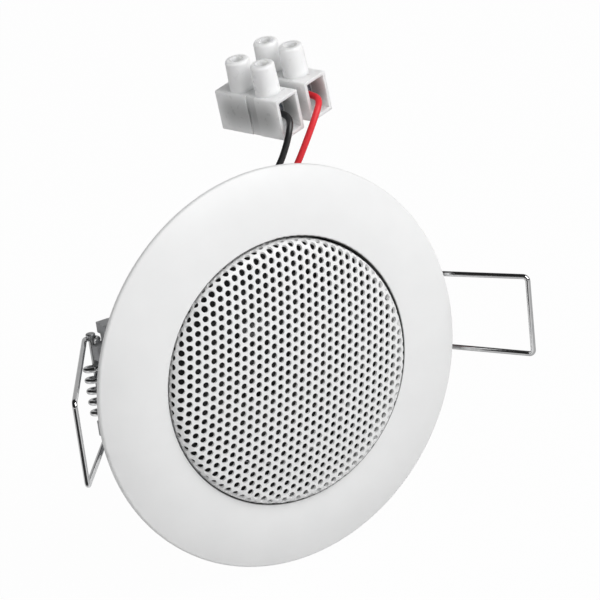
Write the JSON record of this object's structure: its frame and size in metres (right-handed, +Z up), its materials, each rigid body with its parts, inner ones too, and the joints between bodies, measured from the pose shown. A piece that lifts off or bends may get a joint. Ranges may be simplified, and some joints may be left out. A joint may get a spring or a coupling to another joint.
{
  "type": "in ceiling speaker",
  "caption": "Small round ceiling speaker: dished white trim ring, domed perforated grille, sprung wire clips on a short neck, and a screw connector on a black and a red lead.",
  "frame": {"origin": "on the speaker's axis in the plane of the ceiling, the back of the trim ring", "axes": "+Y along the speaker's axis into the ceiling void, the face looks along -Y; +Z up in the picture; X along the line of the spring clips"},
  "size_m": [0.1042, 0.0462, 0.0986],
  "materials": {
    "trim": "satin white moulding",
    "grille": "satin white powder coat",
    "bracket": "mid grey moulding",
    "spring": "bright nickel-plated wire",
    "steel": "zinc plated",
    "connector": "milky translucent moulding",
    "brass": "nickel-plated brass",
    "black_wire": "soft insulation",
    "red_wire": "soft insulation",
    "felt": "black felt",
    "foam": "closed-cell foam",
    "basket": "black painted pressing",
    "surround": "matt rubber",
    "paper": "pulp paper",
    "cap": "glossy dome",
    "cloth": "resin-dipped cloth",
    "former": "polyimide tube",
    "copper": "enamelled copper wire",
    "ferrite": "sintered ferrite",
    "board": "phenolic board"
  },
  "bodies": {
    "speaker": {"housing": "trim", "grille": "grille", "felt_ring": "felt", "driver_gasket": "foam", "basket": "basket", "surround": "surround", "spider": "cloth", "top_plate": "steel", "magnet": "ferrite", "yoke": "steel", "tag_board": "board", "solder_tags": "brass", "tag_rivets": "steel", "basket_screws": "steel", "left_bracket": "bracket", "right_bracket": "bracket", "left_pin": "steel", "right_pin": "steel", "bracket_screws": "steel", "connector_body": "connector", "connector_sleeves": "brass", "connector_screws": "steel", "black_lead": "black_wire", "red_lead": "red_wire"},
    "left_clip": {"left_spring": "spring"},
    "right_clip": {"right_spring": "spring"},
    "membrane": {"cone": "paper", "dust_cap": "cap", "voice_coil_former": "former", "voice_coil": "copper"}
  },
  "joints": [
    {"name": "left_clip_swing", "type": "hinge", "parent": "speaker", "child": "left_clip", "pos_m": [-0.03034, 0.01818, 0.00096], "axis": [0, 0, -1], "range_deg": [0, 145], "stiffness_Nm_per_rad": 0.02, "springref_deg": -34.38},
    {"name": "right_clip_swing", "type": "hinge", "parent": "speaker", "child": "right_clip", "pos_m": [0.03034, 0.01818, 0.00096], "axis": [0, 0, 1], "range_deg": [0, 145], "stiffness_Nm_per_rad": 0.02, "springref_deg": -34.38},
    {"name": "cone_travel", "type": "slide", "parent": "speaker", "child": "membrane", "axis": [0, 1, 0], "range_m": [-0.001, 0.001], "stiffness_N_per_m": 1000, "deforming": ["surround", "spider"]}
  ]
}
